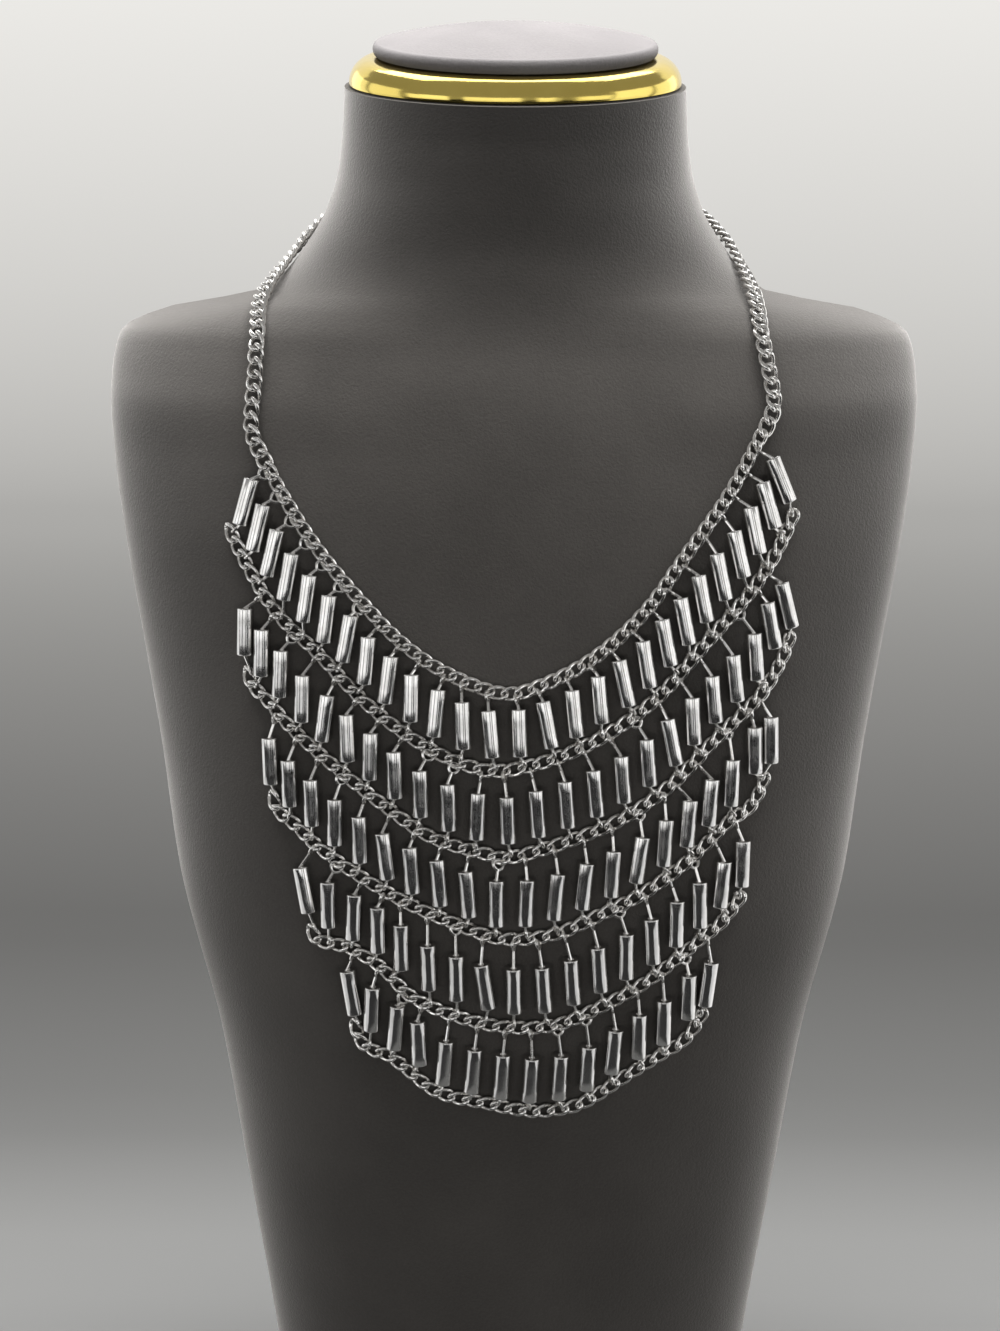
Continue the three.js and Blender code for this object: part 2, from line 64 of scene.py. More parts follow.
# one material, made node by node
class Finish:
    def __init__(self, name, constants):
        self.material = bpy.data.materials.new(name)
        self.material.use_nodes = True
        self.tree = self.material.node_tree
        self.shader = self.tree.nodes["Principled BSDF"]
        self.set(self.shader, constants)

    def set(self, node, sockets):
        for key, value in sockets.items():
            socket = node.inputs[key]
            if isinstance(value, Wire):
                self.tree.links.new(value.socket, socket)
            elif socket.type == "RGBA":
                socket.default_value = (*value, 1)
            else:
                socket.default_value = value

    def node(self, kind, settings=None, sockets=None, output=0):
        added = self.tree.nodes.new(kind)
        for name, value in (settings or {}).items():
            setattr(added, name, value)
        self.set(added, sockets or {})
        return Wire(self, added.outputs[output])

    # the place on the object, in metres
    def place(self):
        return self.node("ShaderNodeTexCoord", output=3)

    def noise(self, scale, detail=2.0, roughness=0.5, vector=None):
        sockets = {"Scale": scale, "Detail": detail, "Roughness": roughness, "Vector": vector or self.place()}
        return self.node("ShaderNodeTexNoise", {}, sockets)

    def spread(self, value, low, high, toLow=0.0, toHigh=1.0):
        sockets = {0: value, 1: low, 2: high, 3: toLow, 4: toHigh}
        return self.node("ShaderNodeMapRange", {}, sockets)

    def blend(self, share, low, high):
        return self.node("ShaderNodeMix", {"data_type": "RGBA"}, {0: share, 6: low, 7: high}, 2)

    def relief(self, height, strength, distance):
        sockets = {"Height": height, "Strength": strength, "Distance": distance}
        self.set(self.shader, {"Normal": self.node("ShaderNodeBump", {}, sockets)})


# shapes are worked out in millimetres
def unit(vectors):
    return vectors / np.linalg.norm(vectors, axis=-1, keepdims=True)


# many small shapes gathered into one mesh
class Batch:
    def __init__(self):
        self.points = []
        self.quads = []
        self.caps = []
        self.count = 0

    def add(self, points, quads, caps=()):
        self.points.append(points)
        self.quads.append(quads + self.count)
        self.caps += [[int(i) + self.count for i in cap] for cap in caps]
        self.count += len(points)

    def piece(self, name, finish, slot, *nodes, sharp=40):
        mesh = bpy.data.meshes.new(name)
        faces = np.concatenate(self.quads).tolist() + self.caps
        mesh.from_pydata((np.concatenate(self.points) * mm).tolist(), [], faces)
        mesh.validate()
        mesh.polygons.foreach_set("use_smooth", [True] * len(mesh.polygons))
        mesh.set_sharp_from_angle(angle=math.radians(sharp))
        mesh.materials.append(finish.material)
        piece = bpy.data.objects.new(name, mesh)
        bpy.context.scene.collection.objects.link(piece)
        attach(piece, "root")
        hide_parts(*nodes)
        return piece


# quads between rings of points, given as an array (rings, sides, 3)
def ringQuads(rings, sides, closed=False):
    at = np.arange(rings * sides).reshape(rings, sides)
    here = at if closed else at[:-1]
    there = np.roll(at, -1, axis=0) if closed else at[1:]
    corners = [here, np.roll(here, -1, axis=1), np.roll(there, -1, axis=1), there]
    return np.stack(corners, axis=-1).reshape(-1, 4)


# round wire along a line of points; aside keeps its rings in step
def wire(line, aside, radius, sides, closed=False):
    if closed:
        along = unit(np.roll(line, -1, axis=0) - np.roll(line, 1, axis=0))
    else:
        along = unit(np.gradient(line, axis=0))
    aside = unit(aside - (aside * along).sum(1, keepdims=True) * along)
    over = np.cross(along, aside)
    angles = np.linspace(0, 2 * np.pi, sides, endpoint=False)[None, :, None]
    reach = np.broadcast_to(radius, len(line))[:, None, None]
    rings = line[:, None] + reach * (np.cos(angles) * aside[:, None] + np.sin(angles) * over[:, None])
    caps = [] if closed else [np.arange(sides)[::-1], (len(line) - 1) * sides + np.arange(sides)]
    return rings.reshape(-1, 3), ringQuads(len(line), sides, closed), caps


# a profile of radius and height turned about +Z
def turned(profile, sides):
    profile = np.array(profile, float)
    angles = np.linspace(0, 2 * np.pi, sides, endpoint=False)
    radius = profile[:, 0, None]
    height = np.repeat(profile[:, 1, None], sides, axis=1)
    rings = np.stack([radius * np.cos(angles), radius * np.sin(angles), height], axis=-1)
    caps = [np.arange(sides)[::-1], (len(profile) - 1) * sides + np.arange(sides)]
    return rings.reshape(-1, 3), ringQuads(len(profile), sides), caps


# the smooth line through points that never swings past them
def smoothLine(xs, ys):
    xs = np.array(xs, float)
    ys = np.array(ys, float)
    spans = np.diff(xs)
    slopes = np.diff(ys) / spans
    tangents = np.zeros(len(xs))
    tangents[0] = slopes[0]
    tangents[-1] = slopes[-1]
    for i in range(1, len(xs) - 1):
        before, after = slopes[i - 1], slopes[i]
        if before * after > 0:
            weightBefore = 2 * spans[i] + spans[i - 1]
            weightAfter = spans[i] + 2 * spans[i - 1]
            tangents[i] = (weightBefore + weightAfter) / (weightBefore / before + weightAfter / after)

    def at(x):
        x = np.clip(x, xs[0], xs[-1])
        i = np.clip(np.searchsorted(xs, x) - 1, 0, len(spans) - 1)
        t = (x - xs[i]) / spans[i]
        return ((2 * t**3 - 3 * t**2 + 1) * ys[i] + (t**3 - 2 * t**2 + t) * spans[i] * tangents[i]
                + (3 * t**2 - 2 * t**3) * ys[i + 1] + (t**3 - t**2) * spans[i] * tangents[i + 1])
    return at


# the camera looks down a little at the middle of the bust; angles are in degrees
camera = {
    "distance": 800, "aim": (-3.5, 0, 217.5), "pitch": 11, "roll": 0.2, "lens": 105.1,
    "sensorWidth": 36, "clipStart": 10,
}

pitch = math.radians(camera["pitch"])
backward = Vector((0, -math.cos(pitch), math.sin(pitch)))
viewer = bpy.data.objects.new("Camera", bpy.data.cameras.new("Camera"))
viewer.data.sensor_fit = "HORIZONTAL"
viewer.data.sensor_width = camera["sensorWidth"]
viewer.data.lens = camera["lens"]
viewer.data.clip_start = camera["clipStart"] * mm
viewer.location = (Vector(camera["aim"]) + camera["distance"] * backward) * mm
turn = Matrix.Rotation(math.pi / 2 - pitch, 3, "X") @ Matrix.Rotation(math.radians(camera["roll"]), 3, "Z")
viewer.rotation_euler = turn.to_euler()
bpy.context.scene.collection.objects.link(viewer)
bpy.context.scene.camera = viewer

# grains are features per metre; the patches of the nap and the specks of the pile share the mottling
velvetLook = {
    "roughness": 0.9, "sheenRoughness": 0.5, "specular": 0.15, "pileGrain": 1500, "napGrain": 26,
    "patchShare": 0.55, "specks": 0.45, "napRelief": 0.4, "relief": 0.35, "reliefDepth": 0.0004,
}


# velvet; across the band of heights given, in metres, its colour darkens upward as painted shade, down to the
# given share of its lightness
def makeVelvet(name, dark, light, sheen, sheenTint, neckShadeBand=None, neckShadeShare=1.0):
    velvet = Finish(name, {"Roughness": velvetLook["roughness"], "Sheen Weight": sheen,
                           "Sheen Roughness": velvetLook["sheenRoughness"], "Sheen Tint": sheenTint,
                           "Specular IOR Level": velvetLook["specular"]})
    pile = velvet.noise(velvetLook["pileGrain"], 3, 0.6)
    nap = velvet.noise(velvetLook["napGrain"], 3, 0.55)
    patches = velvet.spread(nap, 0.35, 0.68) * velvetLook["patchShare"]
    specks = velvet.spread(pile, 0.3, 0.7) * velvetLook["specks"]
    colour = velvet.blend(patches + specks, dark, light)
    if neckShadeBand:
        height = velvet.node("ShaderNodeSeparateXYZ", {}, {"Vector": velvet.place()}, 2)
        colour = velvet.blend(velvet.spread(height, *neckShadeBand, 0.0, 1.0 - neckShadeShare), colour, (0, 0, 0))
    velvet.set(velvet.shader, {"Base Color": colour})
    velvet.relief(pile + nap * velvetLook["napRelief"], velvetLook["relief"], velvetLook["reliefDepth"])
    return velvet


silverLook = {"cloudGrain": 240, "fineGrain": 2600, "sharpest": 0.8, "dullest": 1.6, "relief": 0.03,
              "reliefDepth": 0.0001}


def makeSilver(name, bright, dull, polish):
    silver = Finish(name, {"Metallic": 1.0, "Roughness": polish})
    cloud = silver.noise(silverLook["cloudGrain"], 3, 0.6)
    fine = silver.noise(silverLook["fineGrain"], 2, 0.5)
    low, high = polish * silverLook["sharpest"], polish * silverLook["dullest"]
    silver.set(silver.shader, {
        "Base Color": silver.blend(silver.spread(cloud, 0.4, 0.7), bright, dull),
        "Roughness": silver.spread(cloud, 0.3, 0.75, low, high),
    })
    silver.relief(fine, silverLook["relief"], silverLook["reliefDepth"])
    return silver


# the bust's velvet is darkened up the neck as painted shade
bustVelvet = makeVelvet("bustVelvet", (0.03, 0.0275, 0.025), (0.05, 0.046, 0.042), 0.5, (0.9, 0.87, 0.84),
                        neckShadeBand=(0.3, 0.34), neckShadeShare=0.55)
# the pad's velvet is the bust's velvet painted about three times lighter: painted sheen from the top light
# grazing it, with little real sheen
padPaintedSheenVelvet = makeVelvet("padPaintedSheenVelvet", (0.105, 0.099, 0.099), (0.145, 0.137, 0.136), 0.1, (1, 0.97, 0.97))
chainSilver = makeSilver("chainSilver", (0.93, 0.92, 0.9), (0.8, 0.78, 0.75), 0.16)
beadSilver = makeSilver("beadSilver", (0.86, 0.85, 0.84), (0.76, 0.75, 0.73), 0.13)
pinSilver = makeSilver("pinSilver", (0.9, 0.89, 0.87), (0.78, 0.76, 0.73), 0.2)

goldLook = {
    "bright": (0.95, 0.75, 0.2), "deep": (0.85, 0.66, 0.16), "sharpest": 0.1, "dullest": 0.2,
    "cloudGrain": 60, "waveGrain": 120, "relief": 0.12, "reliefDepth": 0.001,
}


def makeGold(name):
    gold = Finish(name, {"Metallic": 1.0})
    cloud = gold.noise(goldLook["cloudGrain"], 3, 0.6)
    gold.set(gold.shader, {
        "Base Color": gold.blend(gold.spread(cloud, 0.35, 0.7), goldLook["bright"], goldLook["deep"]),
        "Roughness": gold.spread(cloud, 0.3, 0.7, goldLook["sharpest"], goldLook["dullest"]),
    })
    gold.relief(gold.noise(goldLook["waveGrain"], 2, 0.5), goldLook["relief"], goldLook["reliefDepth"])
    return gold


collarGold = makeGold("collarGold")
print("finishes made")

# the bust: depths and widths are from its middle, and its base is at height 0
bust = {
    "shoulderHeight": 291, "shoulderHalfWidth": 108.3, "chestDepth": 64, "backDepth": 49,
    "neckRise": 82.3, "neckHalfWidth": 45, "neckFront": 42, "neckBack": 41,
    "headTilt": 7.3, "tiltStart": 0.75, "gap": 0.35,
    "around": 200, "levelStep": 2.2, "baseRound": 2.5,
    # height, width, front, back and squareness of each section, as shares of the sizes above
    "chest": [
        (0.0, 0.577, 0.72, 0.82, 2.5), (0.093, 0.609, 0.766, 0.857, 2.5), (0.289, 0.692, 0.89, 0.94, 2.5),
        (0.409, 0.744, 0.953, 0.98, 2.5), (0.567, 0.845, 1.0, 1.0, 2.45), (0.684, 0.886, 0.992, 0.98, 2.35),
        (0.763, 0.919, 0.969, 0.96, 2.3), (0.876, 0.968, 0.922, 0.918, 2.2),
        (0.952, 0.993, 0.876, 0.85, 2.03), (1.0, 1.0, 0.833, 0.786, 1.91),
    ],
    "ridge": [
        (0.109, 0.994, 0.797, 0.749, 1.68), (0.219, 0.972, 0.753, 0.72, 1.49),
        (0.292, 0.859, 0.728, 0.712, 1.44),
    ],
    "neck": [
        (0.352, 1.491, 1.086, 0.866, 2), (0.413, 1.353, 1.067, 0.89, 1.9), (0.498, 1.231, 1.04, 0.929, 2),
        (0.608, 1.111, 1.024, 0.976, 2.05), (0.729, 1.042, 1.012, 1, 2), (0.863, 1.013, 1, 1, 2),
        (1.0, 1, 1, 1, 2),
    ],
}

neckTop = bust["shoulderHeight"] + bust["neckRise"]


def bustSections():
    wide, front, back = bust["shoulderHalfWidth"], bust["chestDepth"], bust["backDepth"]
    rows = [(h * bust["shoulderHeight"], w * wide, f * front, b * back, s) for h, w, f, b, s in bust["chest"]]
    rows += [(bust["shoulderHeight"] + h * bust["neckRise"], w * wide, f * front, b * back, s)
             for h, w, f, b, s in bust["ridge"]]
    rows += [(bust["shoulderHeight"] + h * bust["neckRise"], w * bust["neckHalfWidth"],
              f * bust["neckFront"], b * bust["neckBack"], s) for h, w, f, b, s in bust["neck"]]
    return np.array(rows)


sections = bustSections()
widthAt, frontAt, backAt, squarenessAt = [smoothLine(sections[:, 0], sections[:, i]) for i in range(1, 5)]


# the front and the back stay round where the sides come to an edge
def sideSquareness(height):
    return np.maximum(squarenessAt(height), 2)


# a point of the skin; turn is in degrees, 0 at the front and 90 at +X
def skinPoint(turn, height):
    side, forward = np.sin(np.radians(turn)), np.cos(np.radians(turn))
    depth = np.where(forward >= 0, -frontAt(height), backAt(height))
    return np.stack([np.sign(side) * widthAt(height) * np.abs(side) ** (2 / sideSquareness(height)),
                     depth * np.abs(forward) ** (2 / squarenessAt(height)),
                     height * np.ones_like(side)], axis=-1)


def frontTurn(x, height):
    share = np.minimum(np.abs(x) / widthAt(height), 1)
    return np.degrees(np.sign(x) * np.arcsin(share ** (sideSquareness(height) / 2)))


def skinNormal(turn, height):
    across = skinPoint(turn + 0.5, height) - skinPoint(turn - 0.5, height)
    upward = skinPoint(turn, height + 0.5) - skinPoint(turn, height - 0.5)
    return unit(np.cross(across, upward))


def liftedPoint(turn, height, lift):
    return skinPoint(turn, height) + skinNormal(turn, height) * np.asarray(lift)[..., None]


# the body in level rings, whose top ones tip with the head and whose lowest ones round the foot
def makeBust():
    around = np.arange(bust["around"]) * 360 / bust["around"]
    heights = np.linspace(0, neckTop, int(neckTop / bust["levelStep"]))
    rows = np.array([skinPoint(around, h * np.ones_like(around)) for h in heights])
    start = bust["shoulderHeight"] + bust["tiltStart"] * bust["neckRise"]
    share = np.clip((heights - start) / (neckTop - start), 0, 1)
    tilt = share * share * (3 - 2 * share) * math.tan(math.radians(bust["headTilt"]))
    rows[:, :, 2] += rows[:, :, 1] * tilt[:, None]
    foot = []
    for angle in (90, 60, 30):
        inward = bust["baseRound"] * (1 - math.cos(math.radians(angle)))
        ring = rows[0] * (1 - inward / bust["neckHalfWidth"])
        ring[:, 2] = bust["baseRound"] * (1 - math.sin(math.radians(angle)))
        foot.append(ring)
    rows = np.concatenate([np.array(foot), rows[2:]])
    batch = Batch()
    sides = bust["around"]
    caps = [np.arange(sides)[::-1], (len(rows) - 1) * sides + np.arange(sides)]
    batch.add(rows.reshape(-1, 3), ringQuads(len(rows), sides), caps)
    batch.piece("bust_body_velvet", bustVelvet, "bust_velvet", "bust_body")


makeBust()
print("bust made")

# The collar and the pad sit on the tilted top of the neck. The collar's foot is given by how far each
# point is in from its side, and its height, and the dome by how far it starts in from the pad's edge and
# how far from the middle it ends.
head = {
    "collarHeight": 7.2, "collarRound": 6.4, "collarInset": 1.2, "seatTilt": 1.6,
    "collarFoot": [(1.5, 0), (0.4, 0), (0.05, 0.25), (0, 0.7)], "collarLip": 2,
    "padInset": 6.3, "padHeight": 3.7, "padEdge": 1.3, "padCrown": 4.2, "domeStart": 0.8, "domeEnd": 0.3,
    "sides": 160,
}

headMiddle = np.array([0, (bust["neckBack"] - bust["neckFront"]) / 2, neckTop + bust["gap"]])
headFlat = (bust["neckFront"] + bust["neckBack"]) / 2 / bust["neckHalfWidth"]


# points turned about the X axis, the front down
def tipped(points, degrees):
    angle = math.radians(degrees)
    return np.stack([points[:, 0], points[:, 1] * math.cos(angle) - points[:, 2] * math.sin(angle),
                     points[:, 1] * math.sin(angle) + points[:, 2] * math.cos(angle)], axis=-1)


def makeHead():
    radius = bust["neckHalfWidth"] - head["collarInset"]
    high, bend = head["collarHeight"], head["collarRound"]
    rim = [(radius - bend + bend * math.cos(a), high - bend + bend * math.sin(a))
           for a in np.linspace(0, math.pi / 2, 14)]
    foot = [(radius - inset, height) for inset, height in head["collarFoot"]]
    points, quads, caps = turned([*foot, *rim, (radius - bend - head["collarLip"], high)], head["sides"])
    points = points * (1, headFlat, 1)
    points[:, 2] *= 1 + points[:, 1] * math.tan(math.radians(head["seatTilt"])) / high
    collar = Batch()
    collar.add(headMiddle + tipped(points, bust["headTilt"]), quads, caps)
    collar.piece("gold_collar_polished", collarGold, "collar_gold", "gold_collar")

    wide = radius - head["padInset"]
    edge, tall, crown = head["padEdge"], head["padHeight"], head["padCrown"]
    rolled = [(wide - edge + edge * math.cos(a), tall / 2 + tall / 2 * math.sin(a))
              for a in np.linspace(-math.pi / 2, math.pi / 2, 26)]
    dome = [(r, tall + crown * (1 - (r / (wide - edge)) ** 2))
            for r in np.linspace(wide - edge - head["domeStart"], head["domeEnd"], 20)]
    pad = Batch()
    points, quads, caps = turned([*rolled, *dome], head["sides"])
    seated = tipped(points * (1, headFlat, 1), head["seatTilt"]) + (0, 0, high + bust["gap"])
    pad.add(headMiddle + tipped(seated, bust["headTilt"]), quads, caps)
    pad.piece("top_pad_velvet", padPaintedSheenVelvet, "pad_velvet", "top_pad")


makeHead()
print("collar and pad made")

bib = {
    "drop": 68.5, "halfWidth": 72.6, "chainLift": 1.3, "beadLift": 2.6, "routeSteps": 1600,
    "beadLength": 12.2, "beadDiameter": 4.3, "beadSides": 32, "beadBevel": 0.34,
    "holeRadius": 0.8, "holeDepth": 0.5, "holeLip": 0.1, "faceRim": 0.3,
    "chainRoom": 2.5, "leastSlide": 0.15, "slideStep": 0.01,
    # links: how far each reaches past its half pitch, its twist and yaw in degrees, and how far each may
    # roll; the power makes it longer sided than an ellipse
    "linkWire": 1.04, "linkHalf": 1.46, "linkExtra": 0.72, "linkTwist": 46, "linkYaw": 4, "linkRoll": 5,
    "linkPower": 0.85, "linkSteps": 32, "linkSides": 9,
    # eyes: length and width of the upper and the lower ones, how far most are turned from the front,
    # how far the open ones are and how much wider these are, and how narrow each is where it closes
    "eyeLength": 2.7, "eyeWidth": 2.3, "lowerEyeLength": 2.3, "lowerEyeWidth": 2.1,
    "eyeTurn": 78, "openTurn": 14, "openWidth": 1.25, "eyeClose": 0.12, "eyeWaist": 0.4, "eyeSwell": 0.9,
    # how much the turns differ, in degrees, and the widths, as shares
    "upperTurns": (-10, 10), "lowerTurns": (-25, 12), "widths": (0.9, 1.1),
    # pins: how far along a link they may hook, the length over which a link's side curves in, how far
    # each is hidden in its bead and in its eye, and how much a link's distance in line with the bead
    # counts against its distance to the side
    "pinWire": 0.86, "pinSides": 8, "stemSwell": 1.05, "hookReach": 1.2, "linkCurve": 2.6,
    "leastStem": 0.15, "inBead": 0.45, "inEye": 0.3, "alongShare": 0.8,
}

# The six chains, from the top one down: how far each hangs below the one above past a bead's
# length, as a share of that length, its route across the bust and above its lowest point, as
# shares of halfWidth, the share of free length above each bead, and each bead's lean in degrees.
strands = [
    {"slack": 0, "slide": 0.56,
     "route": [(-0.858, 0.766), (-0.82, 0.691), (-0.73, 0.551), (-0.634, 0.427), (-0.523, 0.303),
               (-0.399, 0.179), (-0.248, 0.076), (-0.041, 0), (0.11, 0.034), (0.289, 0.131), (0.455, 0.282),
               (0.592, 0.468), (0.744, 0.675), (0.862, 0.883)],
     "leans": [15, 13, 13, 10, 8, 7, 10, 5, 7, 1, 5, -2, -5, -2, -11, -6, -5, -12, -9, -11, -11, -11, -12,
               -13, -12, -16, -22]},
    {"slack": 0.598, "slide": 0.62,
     "route": [(-1, 0.815), (-0.909, 0.647), (-0.813, 0.51), (-0.675, 0.386), (-0.523, 0.234),
               (-0.358, 0.11), (-0.179, 0.021), (-0.014, 0), (0.248, 0.083), (0.482, 0.234), (0.675, 0.441),
               (0.813, 0.592), (0.909, 0.73), (0.979, 0.871)],
     "leans": [1, 1, 2, 1, 7, -2, 1, -2, -2, -2, 2, -2, -4, -4, -5, -4, -4, -11, -3, -5, -6, -4, -10, -14]},
    {"slack": 0.844, "slide": 0.62,
     "route": [(-0.935, 0.627), (-0.912, 0.57), (-0.861, 0.523), (-0.771, 0.427), (-0.62, 0.303),
               (-0.455, 0.179), (-0.289, 0.069), (-0.11, 0.014), (0, 0), (0.248, 0.076), (0.413, 0.152),
               (0.565, 0.262), (0.702, 0.399), (0.84, 0.523), (0.895, 0.592), (0.941, 0.675), (0.97, 0.753)],
     "leans": [-2, -2, -2, 0, -2, -7, -4, -5, -5, 0, 2, 5, 6, 3, 8, 3, 4, 4, 2, -1, -1]},
    {"slack": 0.762, "slide": 0.6,
     "route": [(-0.846, 0.488), (-0.826, 0.427), (-0.771, 0.386), (-0.675, 0.303), (-0.537, 0.213),
               (-0.372, 0.124), (-0.207, 0.055), (-0.041, 0), (0.138, 0.014), (0.303, 0.083),
               (0.468, 0.165), (0.606, 0.262), (0.758, 0.399), (0.82, 0.434), (0.861, 0.489), (0.886, 0.552)],
     "leans": [-10, -1, 2, -1, -1, -2, -1, -9, -1, -4, -4, -4, 0, -3, 1, -1, 5, 1]},
    {"slack": 0.967, "slide": 0.68,
     "route": [(-0.712, 0.343), (-0.685, 0.298), (-0.62, 0.287), (-0.565, 0.275), (-0.455, 0.207),
               (-0.358, 0.11), (-0.207, 0.041), (-0.028, 0), (0.152, 0.007), (0.317, 0.076), (0.468, 0.158),
               (0.606, 0.262), (0.675, 0.317), (0.737, 0.365), (0.809, 0.455)],
     "leans": [-9, 2, 4, -3, 4, 4, 3, 3, 3, 3, 5, 1, 1, 1, 7]},
    {"slack": 0.926, "slide": 0,
     "route": [(-0.559, 0.324), (-0.537, 0.252), (-0.496, 0.22), (-0.441, 0.204), (-0.386, 0.165),
               (-0.262, 0.069), (-0.083, 0.028), (0.014, 0.007), (0.11, 0), (0.248, 0.028), (0.399, 0.124),
               (0.537, 0.207), (0.599, 0.241), (0.645, 0.292), (0.679, 0.353)],
     "leans": []},
]


# a smooth route through the places, taken at shares of its count of steps
def smoothRoute(places, shares):
    places = np.array(places, float)
    before, after = 2 * places[0] - places[1], 2 * places[-1] - places[-2]
    row = np.concatenate([[before], places, [after]])
    along = shares * (len(places) - 1)
    i = np.minimum(along.astype(int), len(places) - 2)
    t = (along - i)[:, None]
    p0, p1, p2, p3 = row[i], row[i + 1], row[i + 2], row[i + 3]
    v1, v2 = (p2 - p0) / 2, (p3 - p1) / 2
    return ((2 * p1 - 2 * p2 + v1 + v2) * t**3 + (-3 * p1 + 3 * p2 - 2 * v1 - v2) * t**2 + v1 * t + p1)


# a line of points and of directions away from the bust, measured by its length
class LaidLine:
    def __init__(self, points, normals):
        self.points = points
        self.normals = normals
        self.marks = np.concatenate([[0], np.cumsum(np.linalg.norm(np.diff(points, axis=0), axis=1))])
        self.length = self.marks[-1]

    def sample(self, table, distance):
        return np.array([np.interp(distance, self.marks, table[:, i]) for i in range(3)])

    # point, direction along, direction away from the bust and direction across it
    def at(self, distance):
        point = self.sample(self.points, distance)
        step = min(0.6, self.length / 50)
        low, high = max(distance - step, 0), min(distance + step, self.length)
        along = unit(self.sample(self.points, high) - self.sample(self.points, low))
        away = self.sample(self.normals, distance)
        away = unit(away - (away @ along) * along)
        return point, along, away, np.cross(away, along)


beadCounts = [len(strand["leans"]) for strand in strands]
level = bust["shoulderHeight"] - bib["drop"]
chainLines = []
for row, strand in enumerate(strands):
    if row > 0:
        level -= bib["beadLength"] * (1 + strand["slack"])
    route = [(x * bib["halfWidth"], level + rise * bib["halfWidth"], bib["chainLift"])
             for x, rise in strand["route"]]
    places = smoothRoute(route, np.linspace(0, 1, bib["routeSteps"]))
    turns = frontTurn(places[:, 0], places[:, 1])
    chainLines.append(LaidLine(liftedPoint(turns, places[:, 1], places[:, 2]),
                               skinNormal(turns, places[:, 1])))


# each chain has a link for each bead that hooks on it from above, and one between each two
def linkCount(row):
    return 2 * (beadCounts[max(row - 1, 0)] - 1) + 1


def linkFrame(row, link):
    line = chainLines[row]
    return line.at((link + 0.5) * line.length / linkCount(row))


# the closed middle line of one twisted link, lying along +X with +Z away from the bust
def linkLoop(pitch, half, extra):
    t = np.linspace(0, 2 * np.pi, bib["linkSteps"], endpoint=False)
    along, aside = [np.sign(part) * np.abs(part) ** bib["linkPower"] for part in (np.cos(t), np.sin(t))]
    swing = -np.radians(bib["linkTwist"]) * along
    x, y = (pitch / 2 + extra) * along, half * aside * np.cos(swing)
    yaw = math.radians(bib["linkYaw"])
    return np.stack([x * math.cos(yaw) - y * math.sin(yaw), x * math.sin(yaw) + y * math.cos(yaw),
                     half * aside * np.sin(swing)], axis=-1)


def addLink(batch, place, pitch, half, extra, thickness, roll):
    point, along, away, across = place
    loop = linkLoop(pitch, half, extra)
    turn = math.radians(roll)
    side = across * math.cos(turn) + away * math.sin(turn)
    over = away * math.cos(turn) - across * math.sin(turn)
    line = point + loop @ np.array([along, side, over])
    batch.add(*wire(line, line - point, thickness / 2, bib["linkSides"], closed=True))


def makeChain(row, batch):
    line = chainLines[row]
    count = linkCount(row)
    for link in range(count):
        addLink(batch, linkFrame(row, link), line.length / count, bib["linkHalf"], bib["linkExtra"],
                bib["linkWire"], dice.uniform(-bib["linkRoll"], bib["linkRoll"]))


# the room between a bead and the nearest of the points
def clearance(top, bottom, points):
    up = unit(top - bottom)
    offset = points - bottom
    along = offset @ up
    aside = np.linalg.norm(offset - along[:, None] * up, axis=1) - bib["beadDiameter"] / 2
    return np.hypot(np.maximum(aside, 0), np.minimum(along, 0)).min()


# where a bead hangs: it slides up its pin until it is clear of the chain below
def beadEnds(row, index):
    firstLink = beadCounts[max(row - 1, 0)] - beadCounts[row]
    upper = linkFrame(row, 2 * index + firstLink)
    lower = linkFrame(row + 1, 2 * index)
    span = np.linalg.norm(upper[0] - lower[0])
    lean = math.radians(strands[row]["leans"][index])
    half = bib["beadLength"] / 2
    slide = strands[row]["slide"]
    below = chainLines[row + 1].points[::8]
    while True:
        share = ((span - 2 * half) * slide + half) / span
        centre = upper[0] + (lower[0] - upper[0]) * share
        high = centre + half * np.array([math.sin(lean), 0, math.cos(lean)])
        low = centre - half * np.array([math.sin(lean), 0, math.cos(lean)])
        high, low = [liftedPoint(frontTurn(p[0], p[2]), p[2], bib["beadLift"]) for p in (high, low)]
        middle, up = (high + low) / 2, unit(high - low)
        top, bottom = middle + half * up, middle - half * up
        if slide <= bib["leastSlide"] or clearance(top, bottom, below) >= bib["chainRoom"]:
            return top, bottom
        slide -= bib["slideStep"]


def beadProfile():
    half, radius, bevel = bib["beadLength"] / 2, bib["beadDiameter"] / 2, bib["beadBevel"]
    hole, depth, lip = bib["holeRadius"], bib["holeDepth"], bib["holeLip"]
    edge = [(radius - bevel + bevel * math.sin(a), half - bevel + bevel * math.cos(a))
            for a in np.linspace(0, math.pi / 2, 6)]
    upper = [(hole, half - depth), (hole, half - lip), (hole + lip, half),
             (radius - bevel - bib["faceRim"], half), *edge, (radius, half / 2)]
    return [(r, -z) for r, z in upper] + [(radius, 0)] + upper[::-1]


beadShape = turned(beadProfile(), bib["beadSides"])


# the link that a bead's end hooks on: the one most nearly in line with it, past the last one used
def nearestLink(row, end, up, after):
    links = range(min(after + 1, linkCount(row) - 1), linkCount(row))
    offsets = np.array([linkFrame(row, link)[0] for link in links]) - end
    along = offsets @ up
    aside = np.linalg.norm(offsets - along[:, None] * up, axis=1)
    far = bib["alongShare"] * np.abs(along) + aside
    return links[int(np.argmin(far))]


